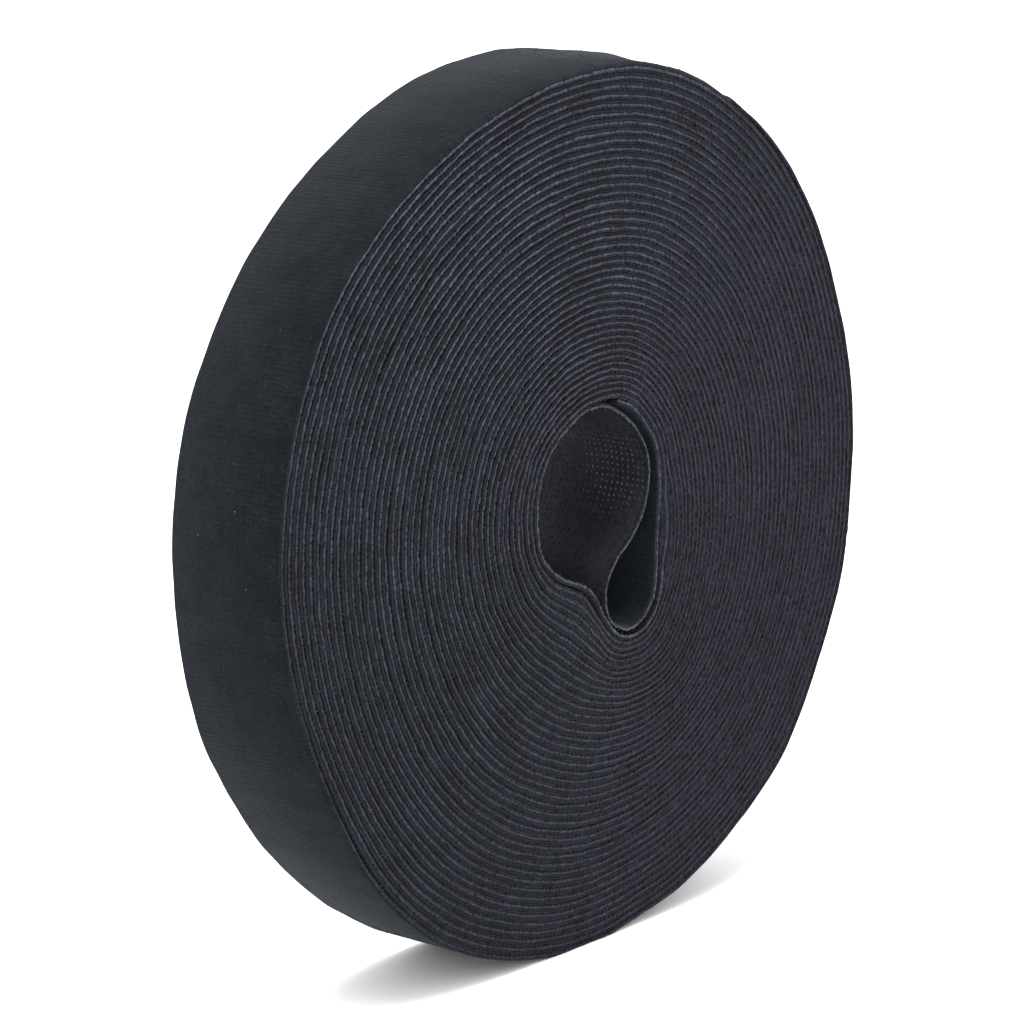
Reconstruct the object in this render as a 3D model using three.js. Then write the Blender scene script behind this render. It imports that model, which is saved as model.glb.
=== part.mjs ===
// A coreless roll of hook and loop tape, standing on its rim.
//
// The tape is two narrow fabrics glued back to back: a hook fabric that faces the middle of the
// roll and a loop fabric that faces out. It is wound flat, counter-clockwise and outward as seen
// from the front, with no core in the hole. Its inner end is folded back on itself in a teardrop.
// Its outer end is free and peels off the turn beneath.
//
// Units are millimetres and degrees. The roll's axis runs along Y, its front face looks toward -Y,
// and +Z is up. Angles round the axis start at +X and grow toward +Z. A winding angle keeps
// counting past 360, so that it also says which turn of the tape is meant.
//
// The real roll has about 43 turns. These solids have half as many, and each stands for two.

import * as THREE from 'three';

// The roll
const rimRadius = 65;
const holeRadius = 15;
const tapeWidth = 20;
const footDepth = 0.5;

// The tape in section
const hookPlyThickness = 0.6;
const loopPlyThickness = 0.6;
const glueLineGap = 0.3;
const realTurnPitch = 1.17;

// The least air between one turn and the next, and the slit where the free end hinges
const turnGap = 0.5;
const hingeGap = 0.3;

// The winding
const mostTurns = 21;
const stepsPerTurn = 24;
const outerEndDegrees = 60;
const tailSpanDegrees = 45;
const footDegrees = 270;

// How finely the tape's path is laid out, and how far one flat of a ply may bend or reach
const layStepDegrees = 1.5;
const samplesPerFoldPoint = 12;
const mostBendDegrees = 24;
const shortestStepDegrees = 3.5;
const easeDegrees = 9;
const easeShares = [-1, -0.5, 0, 0.5, 1];
const longestFoldFlatShare = 0.4;
const steepestFall = 0.25;

// The fold at the inner end, as shares of the hole radius: x to the right, z up.
// The leg runs from the cut end, at the top right, down the right side of the hole.
const legShares = [
  [0.47, 1.06], [0.67, 0.99], [0.87, 0.82], [1.03, 0.59], [1.11, 0.33], [1.12, 0.05],
  [1.06, -0.28], [1.03, -0.60],
];

// The round of the teardrop, from the foot of the leg to the start of the inmost turn.
const teardropShares = [
  [0.99, -0.88], [0.87, -1.09], [0.67, -1.20], [0.48, -1.16], [0.33, -1.03],
];

// The inmost turn, round the hole, up to where it swings out to pass under the teardrop.
const inmostTurnShares = [
  [0.24, -0.83], [0.30, -0.68], [0.44, -0.51], [0.62, -0.38], [0.81, -0.17], [0.91, 0.12],
  [0.90, 0.40], [0.78, 0.64], [0.54, 0.86], [0.25, 1.00], [-0.06, 1.01], [-0.32, 0.90],
  [-0.60, 0.69], [-0.76, 0.41], [-0.81, 0.05], [-0.75, -0.27], [-0.54, -0.50], [-0.28, -0.63],
  [-0.13, -0.69],
];

// The swing outward, under the teardrop: winding degrees, and a share of the hole radius.
const swingOutShares = [
  [259, 0.70], [268, 0.76], [274, 0.86], [278, 0.99], [282, 1.13], [286, 1.26], [292, 1.38],
];

// The rim, as if the last turn went all the way round: degrees, and a share of the rim radius.
// The roll is soft and has slumped a little out of round.
const rimShares = [
  [20, 0.992], [32, 0.998], [46, 1.006], [60, 1.010], [75, 1.002], [90, 0.989], [105, 0.983],
  [120, 0.994], [135, 1.018], [152, 1.038], [166, 1.029], [180, 1.026], [192, 1.003],
  [208, 0.992], [225, 1.009], [238, 1.012], [254, 1.001], [270, 1.004], [282, 0.998],
  [300, 1.006], [316, 1.017], [332, 1.008], [342, 1.010], [356, 0.999],
];

const fullTurn = 360;
const halfTurn = fullTurn / 2;
const tapeThickness = hookPlyThickness + glueLineGap + loopPlyThickness;
const closestPitch = tapeThickness + turnGap;
const { degToRad, radToDeg, euclideanModulo } = THREE.MathUtils;

function onRay(radius, degrees) {
  const angle = degToRad(degrees);
  return new THREE.Vector2(radius * Math.cos(angle), radius * Math.sin(angle));
}

function degreesOf(point) {
  return radToDeg(Math.atan2(point.y, point.x));
}

// A smooth curve through a table of rows of [degrees, share]. A table of the rim wraps round.
function smoothShare(rows, degrees, wraps) {
  const count = rows.length;
  const row = (index) => {
    if (!wraps) return rows[Math.min(Math.max(index, 0), count - 1)];
    const lap = Math.floor(index / count);
    const [angle, share] = rows[index - lap * count];
    return [angle + lap * fullTurn, share];
  };
  const first = rows[0][0];
  const angle = wraps ? first + euclideanModulo(degrees - first, fullTurn) : degrees;
  const index = rows.findLastIndex(([start]) => start <= angle);
  const [before, from, to, after] = [row(index - 1), row(index), row(index + 1), row(index + 2)];
  const span = to[0] - from[0];
  const t = (angle - from[0]) / span;
  const slopeFrom = (span * (to[1] - before[1])) / (to[0] - before[0]);
  const slopeTo = (span * (after[1] - from[1])) / (after[0] - from[0]);
  const cubic = 2 * from[1] - 2 * to[1] + slopeFrom + slopeTo;
  const square = 3 * to[1] - 3 * from[1] - 2 * slopeFrom - slopeTo;
  return ((cubic * t + square) * t + slopeFrom) * t + from[1];
}

function inHole(shares) {
  return shares.map(([x, z]) => new THREE.Vector2(x, z).multiplyScalar(holeRadius));
}

function smoothPath(points) {
  const knots = points.map((point) => new THREE.Vector3(point.x, point.y, 0));
  const curve = new THREE.CatmullRomCurve3(knots);
  const samples = curve.getPoints((points.length - 1) * samplesPerFoldPoint);
  return samples.map((sample) => new THREE.Vector2(sample.x, sample.y));
}

// How far out on a ray the middle of the tape must lie to clear the points already laid.
function clearRadius(points, degrees) {
  const ray = onRay(1, degrees);
  let radius = 0;
  for (const point of points) {
    const across = point.cross(ray);
    if (Math.abs(across) < closestPitch) {
      radius = Math.max(radius, point.dot(ray) + Math.sqrt(closestPitch ** 2 - across ** 2));
    }
  }
  return radius;
}

// The fold. The leg keeps clear of the inmost turn, which it lies against.
const inmostTurn = smoothPath(inHole(inmostTurnShares));
const leg = inHole(legShares).map((point) => {
  const degrees = degreesOf(point);
  return onRay(Math.max(point.length(), clearRadius(inmostTurn, degrees)), degrees);
});
const foldPath = smoothPath([...leg, ...inHole(teardropShares), ...inHole(inmostTurnShares)]);

// As many turns as the room between the teardrop and the rim holds.
const teardropReach = Math.max(...foldPath.map((point) => point.length()));
const turns = Math.min(mostTurns, Math.floor((rimRadius - teardropReach) / closestPitch));
const outerEnd = outerEndDegrees + turns * fullTurn;

// A coarse turn falls further inside the rim than a real one, so half of that is put outside.
const rimLift = ((rimRadius - holeRadius) / turns - realTurnPitch) / 2;

// The winding, laid ray by ray. Each point keeps clear of the turn beneath and shares out the
// room up to the rim evenly with the turns still to come. Nowhere does the tape drop steeply.
const windStart = swingOutShares[0][0];
const swingEnd = swingOutShares.at(-1)[0];
const foldSeamDegrees = -90;
const foldLaid = foldPath.map((point) => {
  const degrees = degreesOf(point);
  return { point, degrees: degrees < foldSeamDegrees ? degrees + fullTurn : degrees };
});

const windLaid = [];

function radiusBeneath(degrees) {
  const under = degrees - fullTurn;
  const steps = Math.round((under - windStart) / layStepDegrees);
  if (steps >= 0) return windLaid[steps].point.length();
  const crossings = foldLaid.filter((entry) => Math.abs(entry.degrees - under) < layStepDegrees);
  return Math.max(0, ...crossings.map((entry) => entry.point.length()));
}

function easedRadiusBeneath(degrees) {
  const around = easeShares.map((share) => radiusBeneath(degrees + share * easeDegrees));
  return around.reduce((sum, radius) => sum + radius) / around.length;
}

function pointsBeneath(degrees) {
  const isBeneath = (entry) => Math.abs(degrees - fullTurn - entry.degrees) < halfTurn;
  const recent = windLaid.slice(-Math.ceil((fullTurn + halfTurn) / layStepDegrees));
  return [...foldLaid, ...recent].filter(isBeneath).map((entry) => entry.point);
}

for (let degrees = windStart; degrees < outerEnd + layStepDegrees; degrees += layStepDegrees) {
  const beneath = easedRadiusBeneath(degrees);
  const turnsAfter = (outerEnd - degrees) / fullTurn;
  const rim = rimRadius * smoothShare(rimShares, degrees, true) + rimLift - tapeThickness / 2;
  const evenly = beneath + (rim - beneath) / (turnsAfter + 1);
  const swing = degrees < swingEnd ? holeRadius * smoothShare(swingOutShares, degrees, false) : 0;
  const before = windLaid.length ? windLaid.at(-1).point.length() : 0;
  const gently = before * (1 - steepestFall * degToRad(layStepDegrees));
  const clear = clearRadius(pointsBeneath(degrees), degrees);
  windLaid.push({ point: onRay(Math.max(evenly, swing, gently, clear), degrees), degrees });
}

function windPoint(degrees) {
  const place = (degrees - windStart) / layStepDegrees;
  const index = Math.min(Math.floor(place), windLaid.length - 2);
  return windLaid[index].point.clone().lerp(windLaid[index + 1].point, place - index);
}

// The angle that the tape turns through at a point, and the way to its hook side there.
function bendAt(from, middle, to) {
  const behind = middle.clone().sub(from);
  const ahead = to.clone().sub(middle);
  return Math.atan2(behind.cross(ahead), behind.dot(ahead));
}

function towardHooks(from, to) {
  const along = to.clone().sub(from).normalize();
  return new THREE.Vector2(-along.y, along.x);
}

// The corners of the fold: a new one wherever the path has bent or run far enough.
function foldCorners() {
  const longest = longestFoldFlatShare * holeRadius;
  const corners = [foldPath[0]];
  let bend = 0;
  for (let index = 1; index < foldPath.length - 1; index += 1) {
    bend += Math.abs(radToDeg(bendAt(foldPath[index - 1], foldPath[index], foldPath[index + 1])));
    const run = foldPath[index].distanceTo(corners.at(-1));
    if (bend > mostBendDegrees || run > longest) {
      corners.push(foldPath[index]);
      bend = 0;
    }
  }
  return corners;
}

// The corners of the winding lie on the same rays turn after turn, with one flat across the
// foot. A flat that would bend too far is halved.
const footHalfDegrees = radToDeg(Math.acos(1 - footDepth / rimRadius));
const footStep = 2 * footHalfDegrees;
const cornerStep = (fullTurn - footStep) / (stepsPerTurn - 1);
const tailRoot = outerEnd - tailSpanDegrees;

function halvedWhereBent(from, to) {
  const middle = (from + to) / 2;
  const bend = Math.abs(radToDeg(bendAt(windPoint(from), windPoint(middle), windPoint(to))));
  if (bend < mostBendDegrees / 2 || middle - from < shortestStepDegrees) return [from];
  return [...halvedWhereBent(from, middle), ...halvedWhereBent(middle, to)];
}

function windDegrees() {
  const rays = [];
  for (let turn = 0; turn <= turns; turn += 1) {
    const footEnd = footDegrees + footHalfDegrees + turn * fullTurn;
    for (let step = 0; step < stepsPerTurn; step += 1) rays.push(footEnd + step * cornerStep);
  }
  const kept = rays.filter((degrees) => {
    const nearRoot = Math.abs(degrees - tailRoot) < shortestStepDegrees;
    return degrees < outerEnd - shortestStepDegrees && !nearRoot;
  });
  const stops = [windStart, ...kept, tailRoot, outerEnd].sort((one, other) => one - other);
  return stops.slice(1).flatMap((to, index) => halvedWhereBent(stops[index], to)).concat(outerEnd);
}

// A corner keeps the place of the tape's middle and the slanted way across the tape there.
function mitred(places) {
  return places.map((middle, index) => {
    const from = places[Math.max(index - 1, 0)];
    const to = places[Math.min(index + 1, places.length - 1)];
    const isEnd = index === 0 || index === places.length - 1;
    const into = isEnd ? towardHooks(from, to) : towardHooks(from, middle);
    const out = isEnd ? into : towardHooks(middle, to);
    const across = into.clone().add(out).normalize();
    return { middle, across: across.divideScalar(across.dot(into)) };
  });
}

const degreesOfCorners = windDegrees();
const corners = mitred([...foldCorners(), ...degreesOfCorners.map(windPoint)]);
const rootIndex = corners.length - degreesOfCorners.length + degreesOfCorners.indexOf(tailRoot);

// The root of the free end is cut square across, with half of the slit on either side.
function slitSide(side) {
  const root = corners[rootIndex];
  const along = new THREE.Vector2(root.across.y, -root.across.x).normalize();
  return { middle: root.middle.clone().addScaledVector(along, side * hingeGap / 2), across: root.across };
}

const woundCorners = [...corners.slice(0, rootIndex), slitSide(-1)];
const tailCorners = [slitSide(1), ...corners.slice(rootIndex + 1)];

// The two plies, as ranges measured across the tape from its glue line toward the hooks.
const hookRange = [glueLineGap / 2, glueLineGap / 2 + hookPlyThickness];
const loopRange = [-glueLineGap / 2 - loopPlyThickness, -glueLineGap / 2];

function faceLine(tapeCorners, reach) {
  return tapeCorners.map(({ middle, across }) => middle.clone().addScaledVector(across, reach));
}

// The foot: the outermost ply is cut level, at the higher of the two lowest corners of its rim.
const outerFace = faceLine(woundCorners, loopRange[0]);
const heights = outerFace.map((point) => point.y).sort((low, high) => low - high);
const floorHeight = heights[1];

function plyGeometry(tapeCorners, range, origin) {
  const near = faceLine(tapeCorners, range[0]);
  const far = faceLine(tapeCorners, range[1]);
  const positions = [];
  near.forEach((point, index) => {
    const ring = [[point, -1], [far[index], -1], [far[index], 1], [point, 1]];
    for (const [place, side] of ring) {
      const height = Math.max(place.y, floorHeight);
      positions.push(place.x - origin.x, side * tapeWidth / 2, height - origin.y);
    }
  });
  const sides = 4;
  const faces = [];
  for (let ring = 0; ring < near.length - 1; ring += 1) {
    for (let side = 0; side < sides; side += 1) {
      const here = ring * sides + side;
      const beside = ring * sides + (side + 1) % sides;
      faces.push(here, beside + sides, beside, here, here + sides, beside + sides);
    }
  }
  const end = (near.length - 1) * sides;
  faces.push(0, 1, 2, 0, 2, 3, end, end + 2, end + 1, end, end + 3, end + 2);
  const geometry = new THREE.BufferGeometry();
  geometry.setAttribute('position', new THREE.Float32BufferAttribute(positions, 3));
  geometry.setIndex(faces);
  geometry.computeVertexNormals();
  return geometry;
}

function fabric(color, roughness) {
  return new THREE.MeshStandardMaterial({ color, roughness, metalness: 0, flatShading: true });
}

const hookFabric = fabric(0x34353a, 0.85);
const loopFabric = fabric(0x3d4248, 0.95);

function ply(name, tapeCorners, range, material, origin) {
  const mesh = new THREE.Mesh(plyGeometry(tapeCorners, range, origin), material);
  mesh.name = name;
  return mesh;
}

const axis = new THREE.Vector2();
const winding = new THREE.Group();
winding.add(ply('hook_ply', woundCorners, hookRange, hookFabric, axis));
winding.add(ply('loop_ply', woundCorners, loopRange, loopFabric, axis));

// The free end stands on its own hinge line, along the outer face of the tape in the slit.
const hinge = faceLine([corners[rootIndex]], loopRange[0])[0];
const tail = new THREE.Group();
tail.position.set(hinge.x, 0, hinge.y);
tail.add(ply('tail_hook_ply', tailCorners, hookRange, hookFabric, hinge));
tail.add(ply('tail_loop_ply', tailCorners, loopRange, loopFabric, hinge));

const roll = new THREE.Group();
roll.add(winding, tail);
const span = new THREE.Box3().setFromObject(roll);
roll.position.set(-(span.min.x + span.max.x) / 2, 0, -floorHeight);

// The least gap between turns, measured from the corners of each face to the flats of the other
// turns. Corners that follow each other closely along the tape are not other turns.
const sameTurnCorners = 5;

function leastGap(face, otherFaces, sameTape) {
  const flat = new THREE.Line3();
  const nearest = new THREE.Vector3();
  const inPlane = (point) => new THREE.Vector3(point.x, point.y, 0);
  let least = Infinity;
  for (const other of otherFaces) {
    const places = other.map(inPlane);
    face.map(inPlane).forEach((point, index) => {
      for (let step = 0; step < places.length - 1; step += 1) {
        if (sameTape && Math.abs(step - index) < sameTurnCorners) continue;
        flat.set(places[step], places[step + 1]).closestPointToPoint(point, true, nearest);
        least = Math.min(least, nearest.distanceTo(point));
      }
    });
  }
  return least;
}

const hookFaces = hookRange.map((reach) => faceLine(woundCorners, reach));
const loopFaces = loopRange.map((reach) => faceLine(woundCorners, reach));
const tailFaces = [faceLine(tailCorners, hookRange[1])];
const gaps = {
  'hook ply to itself': Math.min(...hookFaces.map((face) => leastGap(face, hookFaces, true))),
  'loop ply to itself': Math.min(...loopFaces.map((face) => leastGap(face, loopFaces, true))),
  'hook ply to the loop ply of other turns': leastGap(hookFaces[1], loopFaces, true),
  'leg hooks to the hooks of the next turn': leastGap(hookFaces[1], [hookFaces[1]], true),
  'free end to the turn beneath': leastGap(tailFaces[0].slice(1), loopFaces, false),
};
for (const [name, gap] of Object.entries(gaps)) console.log(`Least gap, ${name}: ${gap.toFixed(2)} mm`);

export default roll;
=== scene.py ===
from math import pi, radians, sin, cos

import bmesh
import bpy
import numpy as np
from mathutils import Matrix, Vector


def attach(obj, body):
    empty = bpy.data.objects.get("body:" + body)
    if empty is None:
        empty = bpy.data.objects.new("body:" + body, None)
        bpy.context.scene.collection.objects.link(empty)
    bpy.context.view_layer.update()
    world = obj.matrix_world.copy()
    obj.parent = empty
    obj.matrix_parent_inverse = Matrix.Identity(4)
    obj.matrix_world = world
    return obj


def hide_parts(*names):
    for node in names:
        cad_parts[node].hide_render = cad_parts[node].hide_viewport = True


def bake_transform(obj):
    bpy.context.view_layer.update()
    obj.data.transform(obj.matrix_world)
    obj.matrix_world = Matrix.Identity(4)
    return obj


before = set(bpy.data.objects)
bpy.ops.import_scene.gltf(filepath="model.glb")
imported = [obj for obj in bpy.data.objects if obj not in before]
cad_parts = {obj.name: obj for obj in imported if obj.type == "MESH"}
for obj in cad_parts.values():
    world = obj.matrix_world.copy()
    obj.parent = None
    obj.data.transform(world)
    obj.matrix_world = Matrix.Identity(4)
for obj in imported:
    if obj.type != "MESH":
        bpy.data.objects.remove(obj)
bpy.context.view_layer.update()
mm = 0.001


# Camera, at the angle and distance of the photograph

cameraSettings = {
    "aim": (0.00018, -0.010, 0.0646),  # middle of the front face
    "azimuth": -51.48,
    "elevation": 12.81,
    "distance": 0.650,
    "lens": 159.4,
    "shift": (-0.0767, 0.0016),
}


def makeCamera(settings):
    turn, rise = radians(settings["azimuth"]), radians(settings["elevation"])
    away = Vector((sin(turn) * cos(rise), -cos(turn) * cos(rise), sin(rise)))
    data = bpy.data.cameras.new("camera")
    data.lens = settings["lens"]
    data.sensor_width = 36
    data.shift_x, data.shift_y = settings["shift"]
    data.clip_start, data.clip_end = 0.01, 20
    data.dof.use_dof = False
    camera = bpy.data.objects.new("camera", data)
    bpy.context.scene.collection.objects.link(camera)
    camera.location = Vector(settings["aim"]) + away * settings["distance"]
    camera.rotation_euler = (-away).to_track_quat("-Z", "Y").to_euler()
    bpy.context.scene.camera = camera


makeCamera(cameraSettings)


# The route of the tape, in millimetres about the roll's axis, x to the right and z up.
# It is the pale line of the tape's edge, where the two fabrics are glued.

route = {
    "axis": (0.18, 64.6),  # where the roll's axis stands in the frame
    "rim": 65.0,
    "turns": 43,
    "outerEnd": 60.0,  # degrees from +X toward +Z
    "tailSpan": 45.0,
    "closest": 0.92,  # least pitch, where the pile is pressed flat
    "tightFrom": 41.0,  # within this radius the turns lie closer, by the shares of tightShares
    "tightTo": 16.0,
    "rayStep": 1.5,  # degrees between the rays that the route is laid on
    "rimSamples": 12,  # places between a turn and the rim where the pitch is asked for
    "ease": 9.0,  # degrees to each side over which the turn beneath is evened out
    "easeRays": 5,
    "steepestFall": 0.25,
    "smoothing": 9,
    "floorGap": 0.32,  # the pile between the pale line and the floor
    "slack": 0.75,  # how far the outermost turn stands off on the left
    "slackFrom": 184.0,
    "slackTo": 243.0,
    "tuck": 0.35,  # how far the tape's end is pressed in, over the last degrees
    "tuckSpan": 14.0,
    "holeTo": 328.0,  # the tape shows in the hole up to this winding angle
    "paintedShadeSpan": 255.0,  # painted shade: the edge line is darker over these last degrees of the tape
    "hooksBefore": 26.0,  # single hooks start this many degrees before the root of the free end
    "splitBefore": 105.0,  # and its pieces this many, at the foot, where no seam shows
}
fineStep = 0.5  # degrees
finePerTurn = round(360 / fineStep)
tableSmoothing = 25

# The pile on the loop side, in millimetres
pile = {
    "foot": -0.05,  # where it is rooted, from the pale line
    "least": 0.34,
    "most": 0.95,
    "hooks": 0.56,  # what the hooks of the next turn take of the gap
    "free": 0.48,
    "past": 0.6,  # how much deeper it is just past the tape's end
    "pastSpan": 70,
    "endShare": 0.5,  # how much of it is left at the tape's very end
    "smoothing": 25,
}

# The inner end: down the leg and round the teardrop
foldPoints = [
    (6.3, 15.5), (8.2, 14.9), (10.0, 14.0), (12.0, 12.3), (14.0, 10.0), (15.5, 7.7), (16.2, 5.3),
    (16.5, 2.0), (16.5, -0.7), (16.2, -3.3), (15.9, -6.0), (15.8, -10.0), (15.6, -12.7),
    (15.0, -14.9), (13.9, -16.6), (12.4, -17.9), (10.4, -18.7), (8.7, -18.8), (7.0, -18.3),
    (5.3, -17.3), (4.3, -16.0), (3.8, -14.3), (3.7, -12.7), (4.2, -10.8),
]

# The inmost turn: round the hole, then out under the teardrop
inmostPoints = [
    (5.3, -9.2), (6.8, -7.5), (9.0, -6.0), (10.8, -4.3), (12.3, -2.3), (13.3, 0.0), (13.9, 2.3),
    (13.9, 4.7), (13.3, 7.0), (12.0, 9.2), (10.3, 11.2), (8.0, 13.0), (5.7, 14.3), (3.7, 15.1),
    (1.3, 15.3), (-0.7, 15.2), (-2.3, 14.7), (-4.7, 13.5), (-7.0, 12.0), (-9.0, 10.3),
    (-10.3, 8.3), (-11.3, 6.3), (-11.9, 4.0), (-12.1, 0.7), (-11.8, -1.7), (-11.2, -4.0),
    (-9.8, -6.0), (-8.0, -7.5), (-6.0, -8.7), (-4.0, -9.5), (-2.0, -10.3), (-0.3, -11.3),
    (1.0, -12.5), (2.0, -14.0), (3.1, -15.8), (4.6, -17.6), (6.2, -19.0), (8.4, -19.9),
    (10.6, -20.0), (13.0, -19.3), (15.0, -17.7), (16.3, -15.4), (16.9, -12.8), (17.0, -10.0),
]

# The rim, as if the last turn went all the way round: degrees, and a share of the rim radius
rimShares = [
    (10, 1.003), (20, 0.991), (30, 0.998), (42, 1.007), (52, 1.007), (60, 1.009), (71, 1.010),
    (79, 1.003), (84, 0.993), (90, 0.986), (108, 0.978), (120, 0.988), (135, 1.013),
    (148, 1.040), (166, 1.030), (180, 1.026), (192, 1.003), (208, 0.992), (225, 1.009),
    (238, 1.012), (254, 1.001), (270, 1.008), (280, 0.985), (290, 1.006), (301, 1.004),
    (316, 1.029), (331, 1.005), (341, 1.018), (352, 1.001),
]

# How much closer the inmost turns lie than the outer ones: degrees, and a share of the pitch
tightShares = [
    (40, 0.30), (90, 0.30), (130, 0.30), (160, 0.28), (200, 0.22), (240, 0.12), (262, 0.04),
    (285, 0.06), (310, 0.24), (350, 0.28),
]

# How much further out the rim lies at the back than at the front: degrees, and millimetres.
# The roll has slumped a little differently on its two sides.
backShifts = [
    (0, 0.0), (25, 0.6), (42, 1.8), (52, 3.4), (58, 4.6), (62, 4.1), (66, 2.7), (70, 1.5),
    (74, 0.9), (78, 0.4), (82, 0.45), (86, 0.85), (96, 0.7), (104, 1.05), (120, 0.1),
    (134, -0.6), (148, -1.15), (162, -0.1),
    (182, -0.15), (202, 1.05), (214, 0.0), (226, -1.1), (240, -1.05), (252, 0.3), (270, 0.0),
    (300, 0.0), (330, 0.0),
]


def smoothed(values, window):
    padded = np.pad(values, len(window) // 2, "edge")
    return np.convolve(padded, window / window.sum(), "valid")


def smoothTable(rows):
    angles, values = np.array(rows, float).T
    grid = np.arange(0, 360, fineStep)
    window = np.hanning(tableSmoothing)
    margin = tableSmoothing // 2 * fineStep
    around = np.interp(np.arange(-margin, 360 + margin, fineStep), angles, values, period=360)
    smooth = np.convolve(around, window / window.sum(), "valid")
    return lambda degrees: np.interp(degrees, grid, smooth[: len(grid)], period=360)


def curveThrough(points, samples):
    # a smooth curve that passes through every point
    knots = np.array([points[0], *points, points[-1]], float)
    t = np.arange(samples)[:, None] / samples
    parts = []
    for a, b, c, d in zip(knots, knots[1:], knots[2:], knots[3:]):
        cubic = 3 * b - a - 3 * c + d
        square = 2 * a - 5 * b + 4 * c - d
        parts.append((2 * b + (c - a) * t + square * t**2 + cubic * t**3) / 2)
    return np.concatenate([*parts, knots[-1:]])


# Slight waves that drift from one turn to the next, as in a hand-wound roll: how many
# to a turn, millimetres high, and the drift in radians a turn
rippleWaves = [
    (7, 0.05, 0.3), (13, 0.045, 0.5), (23, 0.035, 0.8), (41, 0.03, 1.3), (67, 0.022, 1.9),
]
ripplePhase = 2.4


def ripple(angles, start):
    turn = (angles - start) / 360
    theta = np.radians(angles)
    total = sum(
        high * np.sin(count * theta + ripplePhase * count + drift * turn)
        for count, high, drift in rippleWaves
    )
    return total * np.clip(turn, 0, 1)


def layRoute(r):
    perPoint = 10
    fold = curveThrough(foldPoints + inmostPoints, perPoint)
    bend = np.degrees(np.arctan2(fold[:, 1], fold[:, 0]))
    turnStart = len(foldPoints) * perPoint
    bend[turnStart:] = np.degrees(np.unwrap(np.radians(bend[turnStart:])))
    reach = np.hypot(*fold.T)

    rimShare = smoothTable(rimShares)
    tightShare = smoothTable(tightShares)

    def openness(radius, angle):
        depth = np.clip((r["tightFrom"] - radius) / (r["tightFrom"] - r["tightTo"]), 0, 1)
        return 1 - tightShare(angle % 360) * depth

    start = bend[-1] + r["rayStep"]
    end = r["outerEnd"] + r["turns"] * 360
    angles = np.arange(start, end + r["rayStep"], r["rayStep"])
    radii = np.zeros(len(angles))
    places = np.zeros((len(angles), 2))
    perTurn = round(360 / r["rayStep"])
    eases = np.linspace(-1, 1, r["easeRays"]) * r["ease"]
    before = reach[-1]

    def beneath(angle):
        step = round((angle - 360 - start) / r["rayStep"])
        if step >= 0:
            return radii[step]
        near = np.abs(bend - angle + 360) < r["rayStep"]
        return reach[near].max() if near.any() else 0.0

    for k, angle in enumerate(angles):
        ray = np.array([cos(radians(angle)), sin(radians(angle))])
        under = sum(beneath(angle + ease) for ease in eases) / len(eases)
        after = max(end - angle, 0) / 360
        rim = r["rim"] * rimShare(angle % 360)
        slackPlace = (angle % 360 - r["slackFrom"]) / (r["slackTo"] - r["slackFrom"])
        if 0 < slackPlace < 1 and after > 1:
            rim = rim - r["slack"] * sin(pi * slackPlace) ** 2
        # what is left up to the rim is shared out over the turns to come
        stillOpen = (1 / openness(np.linspace(under, rim, r["rimSamples"]), angle)).mean()
        evenly = under + (rim - under) * stillOpen / (after + 1) * openness(under, angle)
        if ray[1] < 0:  # the floor presses the outer turns flat
            floorReach = (r["axis"][1] - r["floorGap"]) / -ray[1]
            evenly = min(evenly, floorReach - int(after) * r["closest"])
        gently = before * (1 - r["steepestFall"] * radians(r["rayStep"]))
        # and the tape stays clear of what has been laid before it
        laid = places[max(0, k - perTurn * 3 // 2) : max(0, k - perTurn // 2)]
        around = np.concatenate([laid, fold[np.abs(angle - 360 - bend) < 180]])
        across = around[:, 0] * ray[1] - around[:, 1] * ray[0]
        close = np.abs(across) < r["closest"]
        bulge = np.sqrt(r["closest"] ** 2 - across[close] ** 2)
        clear = (around[close] @ ray + bulge).max(initial=0)
        before = max(evenly, gently, clear)
        radii[k] = before
        places[k] = ray * before

    fine = np.arange(start, end, fineStep)
    smooth = smoothed(np.interp(fine, angles, radii), np.hanning(r["smoothing"]))
    smooth += ripple(fine, start) - r["tuck"] * np.clip(1 - (end - fine) / r["tuckSpan"], 0, 1) ** 2
    wound = np.stack([smooth * np.cos(np.radians(fine)), smooth * np.sin(np.radians(fine))], 1)
    line = np.concatenate([fold, wound])
    lineAngles = np.concatenate([bend, fine])
    run = np.concatenate([[0], np.cumsum(np.hypot(*np.diff(line, axis=0).T))])
    # the pile fills what is left up to the next turn, and stands free on the last one,
    # deepest just past the tape's end
    gap = smooth[finePerTurn:] - smooth[:-finePerTurn]
    pressed = np.clip(gap - pile["hooks"], pile["least"], pile["most"])
    place = np.arange(finePerTurn) * fineStep
    free = pile["free"] + pile["past"] * np.clip(1 - place / pile["pastSpan"], 0, 1)
    free *= np.clip((360 - place) / r["tuckSpan"], pile["endShare"], 1)
    depth = np.concatenate([np.full(len(fold), pile["least"]), pressed, free])
    return line, lineAngles, run, smoothed(depth, np.ones(pile["smoothing"]))


line, lineAngles, run, pileDepth = layRoute(route)
tapeLength = float(run[-1])
foldLength = float(run[np.argmax(lineAngles > route["holeTo"])])
alongStep = 0.25
headingSmoothing = 5
along = np.arange(0, tapeLength + alongStep / 2, alongStep)
lineX, lineZ = np.interp(along, run, line[:, 0]), np.interp(along, run, line[:, 1])
heading = np.unwrap(np.arctan2(np.gradient(lineZ), np.gradient(lineX)))
heading = smoothed(heading, np.ones(headingSmoothing))


def lengthAt(degrees):
    # how far along the tape a winding angle of the last turns lies
    wound = len(line) - np.argmax(lineAngles[::-1] < degrees) - 1
    return float(np.interp(degrees, lineAngles[wound : wound + 2], run[wound : wound + 2]))


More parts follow.
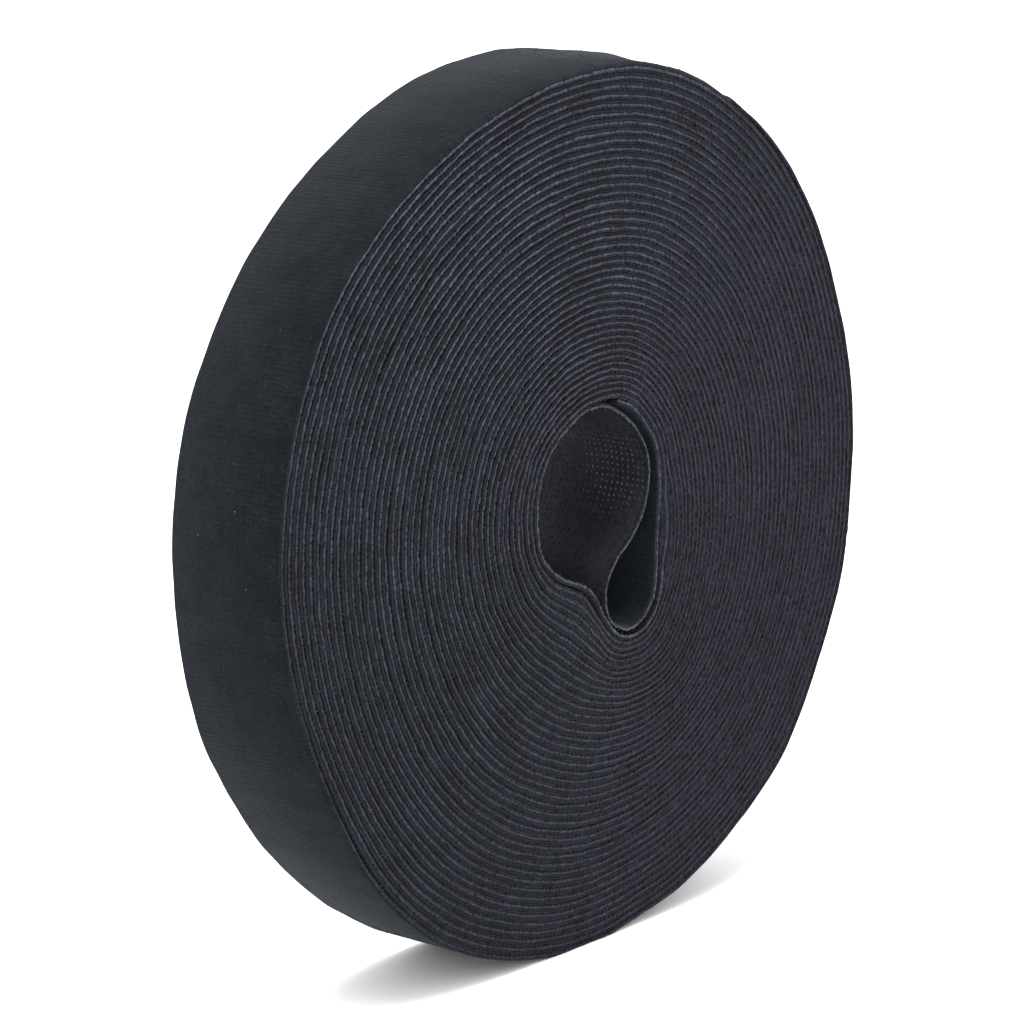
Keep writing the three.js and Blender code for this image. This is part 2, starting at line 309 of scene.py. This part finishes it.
outerEnd = route["outerEnd"] + route["turns"] * 360
tailRoot = outerEnd - route["tailSpan"]
paintedShadeAt = lengthAt(outerEnd - route["paintedShadeSpan"])
rootAt = lengthAt(tailRoot)
hooksAt = lengthAt(tailRoot - route["hooksBefore"])
splitAt = lengthAt(tailRoot - route["splitBefore"])
print(f"route laid: {tapeLength / 1000:.2f} m of tape, free end {tapeLength - rootAt:.1f} mm")


# The tape is made straight, x along it, y across it and z toward its hooks, in millimetres,
# and each piece of it is then wound along the route. On the loop side z is a share of the
# pile's depth at that place.

tapeHalfWidth = 10
wanderWaves = [(0.07, 31, 0), (0.05, 12.3, 1), (0.04, 71, 2)]  # height, length a radian, phase


def wander(s):
    # the edges of the turns don't line up quite
    return sum(high * np.sin(s / length + phase) for high, length, phase in wanderWaves)


def coordinates(mesh):
    flat = np.empty(len(mesh.vertices) * 3)
    mesh.vertices.foreach_get("co", flat)
    return flat.reshape(-1, 3)


def setCoordinates(mesh, places):
    mesh.vertices.foreach_set("co", np.ascontiguousarray(places, np.float32).ravel())
    mesh.update()


def mapTape(mesh):
    # a UV map in millimetres of tape, for the patterns that follow it
    s, h = coordinates(mesh).T[[0, 2]]
    corners = np.empty(len(mesh.loops), int)
    mesh.loops.foreach_get("vertex_index", corners)
    layer = mesh.uv_layers.new(name="tape")
    layer.data.foreach_set("uv", np.stack([s, h], 1)[corners].astype(np.float32).ravel())


backShift = smoothTable(backShifts)


def windUp(mesh):
    mapTape(mesh)
    s, y, h = coordinates(mesh).T
    below = h - pile["foot"]
    h = np.where(below < 0, pile["foot"] + below * np.interp(s, run, pileDepth), h)
    turn = np.interp(s, along, heading)
    x = np.interp(s, along, lineX) - np.sin(turn) * h
    z = np.interp(s, along, lineZ) + np.cos(turn) * h
    # toward the back the whole winding leans out a little, most at the rim
    share = (y / tapeHalfWidth + 1) / 2 * (x**2 + z**2) / route["rim"] ** 2
    out = share * backShift(np.degrees(np.arctan2(z, x))) / np.hypot(x, z)
    x, z = route["axis"][0] + x * (1 + out), route["axis"][1] + z * (1 + out)
    setCoordinates(mesh, np.stack([x, y + wander(s), np.maximum(z, 0)], 1) * mm)


def applied(piece):
    piece.select_set(False)
    depsgraph = bpy.context.evaluated_depsgraph_get()
    mesh = bpy.data.meshes.new_from_object(piece.evaluated_get(depsgraph))
    piece.modifiers.clear()
    piece.data = mesh
    mesh.name = piece.name
    return piece


def newPiece(name, bm, flat=()):
    mesh = bpy.data.meshes.new(name)
    for face in bm.faces:
        face.smooth = face not in flat
    bm.to_mesh(mesh)
    bm.free()
    piece = bpy.data.objects.new(name, mesh)
    bpy.context.scene.collection.objects.link(piece)
    return piece


def repeat(piece, count, step):
    row = piece.modifiers.new("row", "ARRAY")
    row.count = count
    row.use_relative_offset = False
    row.use_constant_offset = True
    row.constant_offset_displace = step
    return piece


def dress(piece, material, body, node=None):
    print(f"{piece.name}: {sum(len(face.vertices) - 2 for face in piece.data.polygons)} triangles")
    piece.data.materials.clear()
    piece.data.materials.append(material)
    if body == "roll":
        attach(piece, "roll")
    else:
        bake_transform(piece)
    if node:
        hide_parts(node)


# Materials

cloudRange = (0.3, 0.7)
bandRadians = 20  # how far a wave texture's bands run in one unit
fadeReach = 10  # millimetres of tape to each side over which a tone changes
paintedShadeReach = 25


def nodeIn(tree, kind, **values):
    node = tree.nodes.new(kind)
    for key, value in values.items():
        if key in node.inputs:
            node.inputs[key].default_value = value
        else:
            setattr(node, key, value)
    return node


def fabric(name, settings):
    material = bpy.data.materials.new(name)
    material.use_nodes = True
    tree = material.node_tree
    shader = tree.nodes["Principled BSDF"]
    shader.inputs["Roughness"].default_value = settings["roughness"]
    shader.inputs["Specular IOR Level"].default_value = settings["specular"]
    shader.inputs["Sheen Weight"].default_value = settings["sheen"]
    shader.inputs["Sheen Roughness"].default_value = 0.5
    shader.inputs["Sheen Tint"].default_value = (0.8, 0.87, 1.0, 1)

    where = nodeIn(tree, "ShaderNodeTexCoord")
    tuft = nodeIn(
        tree, "ShaderNodeTexNoise", Scale=settings["tuftScale"], Detail=5.0, Roughness=0.65
    )
    cloud = nodeIn(
        tree, "ShaderNodeTexNoise", Scale=settings["cloudScale"], Detail=3.0, Roughness=0.55
    )
    tree.links.new(where.outputs["Object"], tuft.inputs["Vector"])
    tree.links.new(where.outputs["Object"], cloud.inputs["Vector"])
    height = tuft.outputs["Fac"]

    if settings.get("rib"):  # fine ribs across the tape, on its own UV map in millimetres
        tape = nodeIn(tree, "ShaderNodeUVMap", uv_map="tape")
        rib = nodeIn(
            tree, "ShaderNodeTexWave", wave_type="BANDS", bands_direction="X",
            Scale=2 * pi / bandRadians / settings["rib"], Distortion=settings["ribWaver"],
            Detail=2.0,
        )
        tree.links.new(tape.outputs["UV"], rib.inputs["Vector"])
        rib.inputs["Detail Scale"].default_value = 2.0
        both = nodeIn(tree, "ShaderNodeMix", data_type="FLOAT")
        both.inputs[0].default_value = settings["ribShare"]
        tree.links.new(tuft.outputs["Fac"], both.inputs[2])
        tree.links.new(rib.outputs["Fac"], both.inputs[3])
        height = both.outputs[0]

    ramp = nodeIn(tree, "ShaderNodeValToRGB")
    low, high = ramp.color_ramp.elements
    low.position, high.position = settings["range"]
    low.color, high.color = (*settings["dark"], 1), (*settings["pale"], 1)
    tree.links.new(height, ramp.inputs["Fac"])
    colour = ramp.outputs["Color"]

    # tones that change with a noise, with the side of the yarn or along the tape
    fades = [(cloud.outputs["Fac"], (*cloudRange, *settings["clouds"]))]
    for key, axis in (("sideTones", "Y"), ("tapeTones", "X")):
        if settings.get(key):
            tape = nodeIn(tree, "ShaderNodeUVMap", uv_map="tape")
            split = nodeIn(tree, "ShaderNodeSeparateXYZ")
            tree.links.new(tape.outputs["UV"], split.inputs["Vector"])
            fades.append((split.outputs[axis], settings[key]))
    if settings.get("paintedLight"):  # a painted pool of light: its middle, then tones by distance
        paintedLight = nodeIn(tree, "ShaderNodeVectorMath", operation="DISTANCE")
        tree.links.new(where.outputs["Object"], paintedLight.inputs[0])
        paintedLight.inputs[1].default_value = settings["paintedLight"][0]
        fades.append((paintedLight.outputs["Value"], settings["paintedLight"][1:]))
    for value, limits in fades:
        fade = nodeIn(tree, "ShaderNodeMapRange", data_type="FLOAT_VECTOR")
        tree.links.new(value, fade.inputs["Vector"])
        # from least to most, and the tone at each: one number, or three for red, green and blue
        for socket, limit in zip(list(fade.inputs)[7:11], limits):
            socket.default_value = limit if isinstance(limit, tuple) else (limit,) * 3
        tone = nodeIn(tree, "ShaderNodeVectorMath", operation="MULTIPLY")
        tree.links.new(colour, tone.inputs[0])
        tree.links.new(fade.outputs["Vector"], tone.inputs[1])
        colour = tone.outputs["Vector"]
    tree.links.new(colour, shader.inputs["Base Color"])

    bump = nodeIn(tree, "ShaderNodeBump", Strength=settings["bump"], Distance=settings["depth"])
    tree.links.new(height, bump.inputs["Height"])
    tree.links.new(bump.outputs["Normal"], shader.inputs["Normal"])
    return material


yarnSettings = {
    "dark": (0.0240, 0.0240, 0.0310), "pale": (0.0667, 0.0665, 0.0853),
    "range": (0.38, 0.64), "clouds": (0.75, 1.2),
    "sideTones": (-0.02, 0.2, 1.1, 0.34),
    # painted shade: the edge line darkens over the last stretch of the outermost turn
    "tapeTones": (paintedShadeAt - paintedShadeReach, paintedShadeAt + paintedShadeReach, 1.0, 0.7),
    "paintedLight": ((-0.025, -0.010, 0.1096), 0.012, 0.060, 0.90, 0.50),  # painted light: paler at the upper left, where the light falls
    "tuftScale": 900.0, "cloudScale": 120.0, "roughness": 0.75, "specular": 0.08, "sheen": 0.0333,
    "bump": 0.4, "depth": 0.0001,
}
edgeYarn = fabric("edgeYarn", yarnSettings)
foldYarn = fabric(
    "foldYarn", {**yarnSettings, "sideTones": (-0.1, 0.3, 1.0, 0.8), "paintedLight": None}
)
hookNylon = fabric("hookNylon", {
    "dark": (0.0150, 0.0153, 0.0218), "pale": (0.0383, 0.0392, 0.0550),
    "range": (0.3, 0.75), "clouds": (0.85, 1.1),
    # painted shade: the hook ground is darker, and a little less purple, where the tape lines the
    # hole
    "tapeTones": (foldLength - fadeReach, foldLength + fadeReach, (0.52, 0.56, 0.50), 1.0),
    "tuftScale": 1200.0, "cloudScale": 150.0, "roughness": 0.6, "specular": 0.0333, "sheen": 0,
    "bump": 0.2, "depth": 0.00005,
})
holeNylon = fabric("holeNylon", {
    "dark": (0.0139, 0.0149, 0.0186), "pale": (0.0329, 0.0351, 0.0433),
    "range": (0.3, 0.75), "clouds": (0.85, 1.1),
    # painted highlight: the hooks are paler where the light reaches into the hole
    "paintedLight": ((0.0139, -0.0035, 0.0680), 0.003, 0.0080, 4.8, 1.0),
    "tuftScale": 1200.0, "cloudScale": 150.0, "roughness": 0.5, "specular": 0.0533, "sheen": 0,
    "bump": 0.1, "depth": 0.00005,
})
hookGloss = fabric("hookGloss", {
    "dark": (0.0133, 0.0140, 0.0173), "pale": (0.0367, 0.0387, 0.0467),
    "range": (0.3, 0.75), "clouds": (0.85, 1.1),
    "tuftScale": 1200.0, "cloudScale": 150.0, "roughness": 0.35, "specular": 0.267, "sheen": 0,
    "bump": 0.1, "depth": 0.00005,
})
loopPile = fabric("loopPile", {
    "dark": (0.0027, 0.0035, 0.0045), "pale": (0.0075, 0.0097, 0.0123),
    "range": (0.30, 0.80), "clouds": (0.74, 1.28),
    "sideTones": (-1.0, -0.75, 1.0, (2.2, 1.9, 2.15)),  # the cut side is paler than the brushed top
    "tapeTones": (foldLength - fadeReach, foldLength + fadeReach, 1.6, 1.0),
    "tuftScale": 1300.0, "cloudScale": 240.0, "roughness": 0.95, "specular": 0.0333,
    "sheen": 0.0667,
    "rib": 0.72, "ribWaver": 4.5, "ribShare": 0.15, "bump": 0.7, "depth": 0.0002,
})
pileFibre = fabric("pileFibre", {
    "dark": (0.0120, 0.0142, 0.0175), "pale": (0.0400, 0.0468, 0.0568),
    "range": (0.3, 0.7), "clouds": (0.8, 1.2),
    "tuftScale": 700.0, "cloudScale": 100.0, "roughness": 0.8, "specular": 0.0667, "sheen": 0,
    "bump": 0.1, "depth": 0.00005,
})
lintWhite = fabric("lintWhite", {
    "dark": (0.0500, 0.0500, 0.0520), "pale": (0.1200, 0.1200, 0.1240),
    "range": (0.3, 0.7), "clouds": (0.9, 1.1),
    "tuftScale": 900.0, "cloudScale": 200.0, "roughness": 0.9, "specular": 0.0667, "sheen": 0,
    "bump": 0.2, "depth": 0.00005,
})
print("materials made")


# The two glued fabrics: a ribbon each, round at its edges

ribbons = {
    "step": 1.3,
    "endNormal": 0.9,  # least share of its normal that an end face has along the tape
    "hookGround": {"from": -0.05, "to": 0.18, "halfWidth": 9.9, "round": 0.07},
    "loopGround": {"from": -1.05, "to": -0.05, "halfWidth": 9.8, "round": 0.2},
    "hookMat": {"from": 0.16, "to": 0.52, "halfWidth": 9.66, "round": 0.12},
}


def makeRibbon(name, start, end, size):
    bm = bmesh.new()
    bmesh.ops.create_cube(bm, size=1)
    middle = Vector(((start + end) / 2, 0, (size["from"] + size["to"]) / 2))
    spread = Vector((end - start, 2 * size["halfWidth"], size["to"] - size["from"]))
    bmesh.ops.scale(bm, vec=spread, verts=bm.verts)
    bmesh.ops.translate(bm, vec=middle, verts=bm.verts)

    def longEdges():
        half = (end - start) / 2
        return [e for e in bm.edges if abs(e.verts[0].co.x - e.verts[1].co.x) > half]

    bmesh.ops.bevel(
        bm, geom=longEdges(), offset=size["round"], segments=1, profile=0.5,
        affect="EDGES", material=-1,
    )
    bmesh.ops.subdivide_edges(
        bm, edges=longEdges(), cuts=round((end - start) / ribbons["step"]), use_grid_fill=True
    )
    # the cut ends are shaded flat
    bm.normal_update()
    ends = {face for face in bm.faces if abs(face.normal.x) > ribbons["endNormal"]}
    piece = newPiece(name, bm, ends)
    windUp(piece.data)
    return piece


hookGround = makeRibbon("hookGround", 0, splitAt, ribbons["hookGround"])
loopGround = makeRibbon("loopGround", 0, splitAt, ribbons["loopGround"])
dress(hookGround, hookNylon, "roll", "hook_ply")
dress(loopGround, loopPile, "roll", "loop_ply")
freeHookGround = makeRibbon("freeHookGround", splitAt, tapeLength, ribbons["hookGround"])
freeLoopGround = makeRibbon("freeLoopGround", splitAt, tapeLength, ribbons["loopGround"])
dress(freeHookGround, hookNylon, "tail", "tail_hook_ply")
dress(freeLoopGround, loopPile, "tail", "tail_loop_ply")
# between the turns the hooks stand so deep in the pile that they make one dark mat
hookMat = makeRibbon("hookMat", foldLength, hooksAt, ribbons["hookMat"])
dress(hookMat, hookNylon, "roll")
print("ribbons made:", len(hookGround.data.polygons) + len(loopGround.data.polygons), "faces")


# Rows of small things along the tape

def scatter(piece, perShape, settings, random):
    # shifts and sizes each copy a little, so that no two are alike
    places = coordinates(piece.data)
    copies = len(places) // perShape
    places = places.reshape(copies, perShape, 3)
    middle = places.mean(1, keepdims=True)
    middle[:, :, 2] = settings["foot"]
    size = 1 + settings["sizes"] * random.uniform(-1, 1, (copies, 1, 3))
    shift = random.normal(0, 1, (copies, 1, 3)) * settings["shift"]
    places = ((places - middle) * size + middle + shift).reshape(-1, 3)
    places[:, 2] += flutter(places[:, 0])
    setCoordinates(piece.data, places)


# The short waves of the woven edge, in millimetres: the length of each, how far it
# drifts in radians, and the length over which it does
edgeFlutter = {
    "waves": [(1.83, 2.5, 9.1), (2.71, 2, 5.3)], "high": 0.022, "swell": 0.6, "swellLength": 143,
}


def flutter(s):
    waves = sum(
        np.sin(2 * pi * s / length + drift * np.sin(s / over))
        for length, drift, over in edgeFlutter["waves"]
    )
    swell = 1 + edgeFlutter["swell"] * np.sin(s / edgeFlutter["swellLength"])
    return edgeFlutter["high"] * waves * swell


def sideRows(name, shape, start, end, step, y, settings, seed):
    # the same shape all along one edge of the tape
    perShape = len(shape.verts)
    count = int((end - start) / step)
    bmesh.ops.translate(shape, vec=(start + step / 2, y, 0), verts=shape.verts)
    piece = applied(repeat(newPiece(name, shape), count, (step, 0, 0)))
    scatter(piece, perShape, settings, np.random.default_rng(seed))
    windUp(piece.data)
    return piece


edgeBeads = {
    "step": 1.06, "length": 1.45, "height": 0.60, "depth": 0.26, "y": 9.93, "h": -0.05,
    "tooth": 0.55, "toothHeight": 0.32, "toothH": 0.15,
    "foot": 0.0, "sizes": 0.2, "shift": (0.04, 0.03, 0.02),
}


def beadShape():
    # one stitch of the edge: a long bead, with a tooth on its hook side
    bm = bmesh.new()
    for length, height, h, rings in (
        (edgeBeads["length"], edgeBeads["height"], edgeBeads["h"], 3),
        (edgeBeads["tooth"], edgeBeads["toothHeight"], edgeBeads["toothH"], 2),
    ):
        verts = bmesh.ops.create_uvsphere(bm, u_segments=4, v_segments=rings, radius=0.5)["verts"]
        bmesh.ops.rotate(bm, matrix=Matrix.Rotation(pi / 2, 3, "Y"), verts=verts)
        bmesh.ops.scale(bm, vec=(length, edgeBeads["depth"], height), verts=verts)
        bmesh.ops.translate(bm, vec=(0, 0, h), verts=verts)
    return bm


edgeHooks = {
    "step": 0.84, "stem": 0.20, "rise": 0.26, "crook": 0.20, "y": 9.62, "h": 0.15,
    "foot": 0.15, "sizes": 0.22, "shift": (0.07, 0.09, 0.0),
}


hookTaper = {"stem": 0.9, "tip": 0.7, "tipRise": 0.55}


def hookShape(size):
    # a stem with its tip bent over along the tape
    bm = bmesh.new()
    bmesh.ops.create_grid(bm, x_segments=1, y_segments=1, size=size["stem"] / 2)
    bmesh.ops.translate(bm, vec=(-size["crook"] / 2, 0, size["h"]), verts=bm.verts)
    for move, taper in (
        ((0, 0, size["rise"]), hookTaper["stem"]),
        ((size["crook"], 0, size["rise"] * hookTaper["tipRise"]), hookTaper["tip"]),
    ):
        top = max(bm.faces, key=lambda face: face.calc_center_median().z)
        grown = bmesh.ops.extrude_face_region(bm, geom=[top])["geom"]
        verts = [v for v in grown if isinstance(v, bmesh.types.BMVert)]
        bmesh.ops.translate(bm, vec=move, verts=verts)
        middle = sum((v.co for v in verts), Vector()) / len(verts)
        bmesh.ops.scale(bm, vec=(taper,) * 3, space=Matrix.Translation(-middle), verts=verts)
    bmesh.ops.recalc_face_normals(bm, faces=bm.faces)
    return bm


def hookField(name, rows, start, end, seed):
    # rows of hooks over the full width, where the tape's hook side shows
    field = hookShape(rows)
    perShape = len(field.verts)
    bmesh.ops.translate(field, vec=(start + rows["step"] / 2, -rows["reach"], 0), verts=field.verts)
    across = round(2 * rows["reach"] / rows["step"]) + 1
    piece = repeat(newPiece(name, field), int((end - start) / rows["step"]), (rows["step"], 0, 0))
    piece = applied(repeat(applied(piece), across, (0, rows["step"], 0)))
    scatter(piece, perShape, rows, np.random.default_rng(seed))
    windUp(piece.data)
    return piece


hookRows = {
    "step": 0.95, "reach": 9.03, "foot": 0.15, "sizes": 0.25, "shift": (0.05, 0.05, 0.0),
    "stem": 0.16, "rise": 0.22, "crook": 0.18, "h": 0.15,
}
pressedRows = {**hookRows, "rise": 0.12}  # in the hole the hooks lie flatter
holeHooks = hookField("holeHooks", pressedRows, 0, foldLength, 7)
dress(holeHooks, holeNylon, "roll")
freeHooks = hookField("freeHooks", hookRows, hooksAt, tapeLength, 8)
dress(freeHooks, hookGloss, "tail")

halfShare = 0.56  # the winding's rows are made in two lengths, so that no piece is too large
halfAt = splitAt * halfShare
parts = (
    ("Fold", 0, foldLength, "roll"), ("Inner", foldLength, halfAt, "roll"),
    ("Outer", halfAt, splitAt, "roll"), ("Free", splitAt, tapeLength, "tail"),
)
for side, sign in (("front", -1), ("back", 1)):
    for part, start, end, body in parts:
        beads = sideRows(
            side + part + "Edge", beadShape(), start, end,
            edgeBeads["step"], sign * edgeBeads["y"], edgeBeads, 3,
        )
        dress(beads, foldYarn if part == "Fold" else edgeYarn, body)
        hooks = sideRows(
            side + part + "Hooks", hookShape(edgeHooks), start, end,
            edgeHooks["step"], sign * edgeHooks["y"], edgeHooks, 5,
        )
        dress(hooks, hookNylon, body)
print("edges made")


# Loose fibres of the pile on the outermost turn, and a few specks of lint

fibres = {
    "length": 0.75, "thick": 0.07, "rise": 0.2, "reach": 9.6, "perMillimetre": 7.5,
    "sizes": (0.4, 1.2), "endGap": 0.5,
}


def looseFibres(name, start, end, seed):
    random = np.random.default_rng(seed)
    bm = bmesh.new()
    bmesh.ops.create_uvsphere(bm, u_segments=4, v_segments=3, radius=0.5)
    bmesh.ops.rotate(bm, matrix=Matrix.Rotation(pi / 2, 3, "Y"), verts=bm.verts)
    bmesh.ops.scale(bm, vec=(fibres["length"], fibres["thick"], fibres["rise"]), verts=bm.verts)
    perShape = len(bm.verts)
    count = int((end - start) * fibres["perMillimetre"])
    piece = applied(repeat(newPiece(name, bm), count, (0, 0, 0)))
    places = coordinates(piece.data).reshape(count, perShape, 3)
    places = places * random.uniform(*fibres["sizes"], (count, 1, 1))
    turn = random.uniform(0, pi, (count, 1))
    x = places[:, :, 0] * np.cos(turn) - places[:, :, 1] * np.sin(turn)
    x += random.uniform(start, end, (count, 1))
    y = places[:, :, 0] * np.sin(turn) + places[:, :, 1] * np.cos(turn)
    y += random.uniform(-fibres["reach"], fibres["reach"], (count, 1))
    h = places[:, :, 2] + ribbons["loopGround"]["from"]
    setCoordinates(piece.data, np.stack([x, y, h], 2).reshape(-1, 3))
    windUp(piece.data)
    return piece


lastTurn = lengthAt(outerEnd - 360)
dress(looseFibres("rimFibres", lastTurn, splitAt, 11), pileFibre, "roll")
freeFibres = looseFibres("freeFibres", splitAt, tapeLength - fibres["endGap"], 12)
dress(freeFibres, pileFibre, "tail")

lint = {
    # degrees round the last turn, millimetres across the tape, and size
    "specks": [
        (170.7, -1.5, 0.26), (174.2, 4.9, 0.22), (179.5, -3.8, 0.2), (-72.0, -9.98, 0.3),
        (96.2, -2.4, 0.22), (105.0, 5.4, 0.22), (103.0, -1.5, 0.18),
    ],
    "stretch": (1.3, 1, 1.2),
    "proud": 0.1,  # how far a speck on the rim stands off the pile
    "onRim": 9,  # a speck further across than this lies on the tape's edge
    "edgeHeight": -0.5,
}


def makeLint():
    bm = bmesh.new()
    for degrees, y, size in lint["specks"]:
        # the last turn starts at the tape's outer end, so angles up to there are a turn further
        turns = route["turns"] - (degrees > route["outerEnd"])
        s = lengthAt(turns * 360 + degrees)
        verts = bmesh.ops.create_icosphere(bm, subdivisions=1, radius=size / 2)["verts"]
        onRim = abs(y) < lint["onRim"]
        h = ribbons["loopGround"]["from"] - lint["proud"] if onRim else lint["edgeHeight"]
        bmesh.ops.scale(bm, vec=lint["stretch"], verts=verts)
        bmesh.ops.translate(bm, vec=(s, y, h), verts=verts)
    piece = newPiece("lint", bm)
    windUp(piece.data)
    return piece


dress(makeLint(), lintWhite, "roll")
print("fibres and lint made")


# Floor and light

stageSettings = {"floor": 9.0, "floorColour": 0.95, "world": 1.68}
keySettings = {"place": (-0.24, -0.04, 1.22), "size": 1.0, "power": 18}


def makeFloor(settings):
    bm = bmesh.new()
    bmesh.ops.create_grid(bm, x_segments=1, y_segments=1, size=settings["floor"] / 2)
    floor = newPiece("floor", bm)
    material = bpy.data.materials.new("paleFloor")
    material.use_nodes = True
    shader = material.node_tree.nodes["Principled BSDF"]
    shader.inputs["Base Color"].default_value = (settings["floorColour"],) * 3 + (1,)
    shader.inputs["Roughness"].default_value = 0.9
    shader.inputs["Specular IOR Level"].default_value = 0.1
    floor.data.materials.append(material)


def makeWorld(strength):
    world = bpy.data.worlds.new("studio")
    world.use_nodes = True
    background = world.node_tree.nodes["Background"]
    background.inputs["Color"].default_value = (1, 1, 1, 1)
    background.inputs["Strength"].default_value = strength
    bpy.context.scene.world = world


def makeLight(name, settings):
    data = bpy.data.lights.new(name, "AREA")
    data.shape = "DISK"
    data.size = settings["size"]
    data.energy = settings["power"]
    light = bpy.data.objects.new(name, data)
    bpy.context.scene.collection.objects.link(light)
    light.location = settings["place"]
    ahead = Vector(cameraSettings["aim"]) - Vector(settings["place"])
    light.rotation_euler = ahead.to_track_quat("-Z", "Y").to_euler()


makeFloor(stageSettings)
makeWorld(stageSettings["world"])
makeLight("keyLight", keySettings)
bpy.context.scene.view_settings.view_transform = "Standard"
print("stage made")
